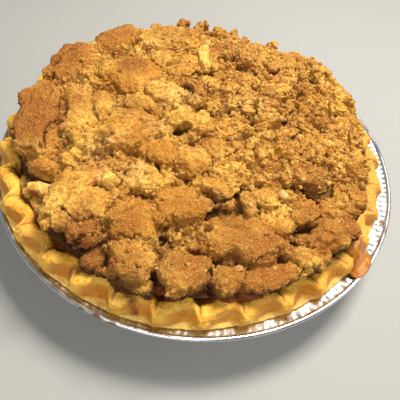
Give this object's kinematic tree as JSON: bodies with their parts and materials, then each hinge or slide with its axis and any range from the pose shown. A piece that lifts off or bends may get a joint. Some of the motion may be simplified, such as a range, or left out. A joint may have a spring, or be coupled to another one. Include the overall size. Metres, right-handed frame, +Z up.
{
  "type": "dutch apple pie in a foil tin",
  "caption": "Whole baked Dutch apple pie: fluted pastry rim, domed crumble topping in rough clumps, apple filling and a round foil tin to stand on.",
  "frame": {"origin": "middle of the tin's underside, on the surface that the pie stands on", "axes": "+Z up; the side nearest the viewer of the picture faces -Y and its right is +X"},
  "size_m": [0.2448, 0.2448, 0.0725],
  "materials": {
    "foil": "bright rolled foil",
    "pastry": "baked golden, satin",
    "filling": "sticky, glossy",
    "crumble": "grainy, baked brown, matt",
    "apple": "moist, satin",
    "syrup": "clear amber gloss"
  },
  "bodies": {
    "root": {"foil_pan": "foil", "pastry_case": "pastry", "apple_filling": "filling", "crumb_topping": "crumble", "apple_slice_back": "apple", "apple_slice_left": "apple", "apple_slice_front": "apple", "apple_chunk_front": "apple", "apple_chunk_left": "apple", "syrup_drip": "syrup", "syrup_smear": "syrup"}
  },
  "joints": []
}
